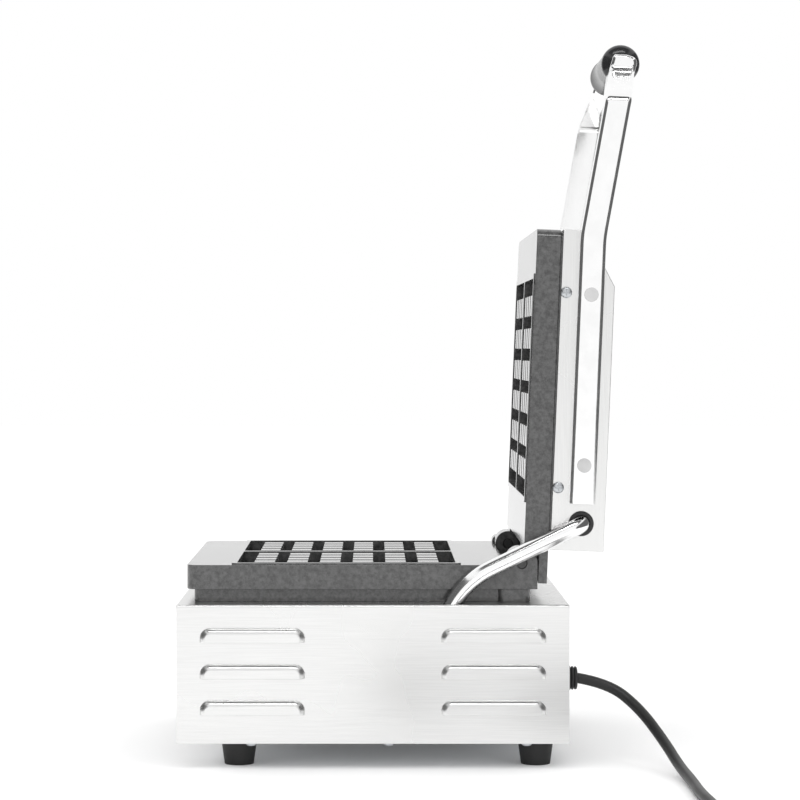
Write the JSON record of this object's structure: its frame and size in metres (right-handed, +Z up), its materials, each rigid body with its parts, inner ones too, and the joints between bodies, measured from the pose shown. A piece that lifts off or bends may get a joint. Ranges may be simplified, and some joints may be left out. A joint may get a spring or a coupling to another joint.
{
  "type": "electric waffle iron",
  "caption": "Countertop electric waffle iron: a stainless louvred housing on rubber feet, a hinged cast plate lid with a channel-arm handle, controls in front and a mains cord at the back.",
  "frame": {"origin": "on the table, under the middle of the overall length without the cord and of the width", "axes": "+X to the back where the hinge is, +Y to the far side, +Z up; the cook stands at -X"},
  "size_m": [0.3845, 0.6256, 0.5554],
  "materials": {
    "stainless": "bright, lightly brushed stainless sheet",
    "zinc_sheet": "plain zinc-plated steel sheet",
    "zinc_steel": "zinc-plated fasteners",
    "bright_steel": "turned steel",
    "cast_iron": "fine-grained dark cast iron",
    "chrome": "polished chrome plate",
    "heater_sheath": "heat-darkened steel sheath",
    "mineral_wool": "compressed mineral wool blanket",
    "rubber_black": "matt black rubber",
    "cord_rubber": "smooth black rubber sheath",
    "black_plastic": "black heat-resistant plastic",
    "grey_plastic": "light grey plastic",
    "wire_bundle": "glass-fibre sleeved wires",
    "copper": "copper capillary and bulb",
    "ceramic_white": "white heat-resistant terminal block",
    "green_lens": "translucent green lens",
    "amber_lens": "translucent amber lens",
    "nickel": "nickel-plated pins"
  },
  "bodies": {
    "base": {"base_plate": "zinc_sheet", "base_screws": "zinc_steel", "cord_coil": "cord_rubber", "cord_gland": "black_plastic", "cord_tail": "cord_rubber", "foot_front_far": "rubber_black", "foot_front_near": "rubber_black", "foot_nuts": "zinc_steel", "foot_rear_far": "rubber_black", "foot_rear_near": "rubber_black", "foot_screws": "zinc_steel", "front_panel": "stainless", "harness": "wire_bundle", "heat_shield": "zinc_sheet", "hinge_pin_far": "bright_steel", "hinge_pin_near": "bright_steel", "housing_shell": "stainless", "lower_clamp_screws": "zinc_steel", "lower_heater": "heater_sheath", "lower_heater_clamp": "zinc_sheet", "lower_insulation": "mineral_wool", "lower_plate": "cast_iron", "mains_cord": "cord_rubber", "pilot_lamp_heating": "amber_lens", "pilot_lamp_power": "green_lens", "plate_screws": "zinc_steel", "plug_body": "black_plastic", "plug_pins": "nickel", "power_switch": "black_plastic", "rear_panel": "stainless", "supply_lead": "cord_rubber", "terminal_block": "ceramic_white", "thermostat": "zinc_sheet", "thermostat_bulb": "copper"},
    "lid": {"upper_plate": "cast_iron", "upper_heater": "heater_sheath", "upper_heater_clamp": "zinc_sheet", "upper_insulation": "mineral_wool", "upper_clamp_screws": "zinc_steel", "lid_cover": "stainless", "cover_screws": "bright_steel", "handle_arm_near": "chrome", "handle_arm_far": "chrome", "arm_spacers": "zinc_steel", "arm_bolts": "zinc_steel", "arm_nuts": "zinc_steel", "arm_plugs": "grey_plastic", "grip": "black_plastic", "grip_rod": "zinc_steel", "lid_bush": "black_plastic", "lid_bush_nut": "black_plastic"},
    "tube": {"conduit_tube": "chrome", "conduit_wires": "wire_bundle"},
    "knob": {"thermostat_knob": "black_plastic", "thermostat_shaft": "bright_steel"},
    "rocker": {"power_rocker": "black_plastic"}
  },
  "joints": [
    {"name": "lid_hinge", "type": "hinge", "parent": "base", "child": "lid", "pos_m": [0.08196, 0, 0.15305], "axis": [0, -1, 0], "range_deg": [0, 92.4]},
    {"name": "tube_swing", "type": "hinge", "parent": "lid", "child": "tube", "pos_m": [0.12687, -0.12755, 0.1834], "axis": [0, -1, 0], "range_deg": [-43.43, 0]},
    {"name": "knob_turn", "type": "hinge", "parent": "base", "child": "knob", "pos_m": [-0.15484, 0, 0.0713], "axis": [1, 0, 0], "range_deg": [0, 270]},
    {"name": "rocker_tilt", "type": "hinge", "parent": "base", "child": "rocker", "pos_m": [-0.15484, -0.075, 0.0713], "axis": [0, -1, 0], "range_deg": [0, 14]}
  ],
  "couplings": [
    {"joint": "tube_swing", "follows": "lid_hinge", "ratio": -0.47}
  ]
}
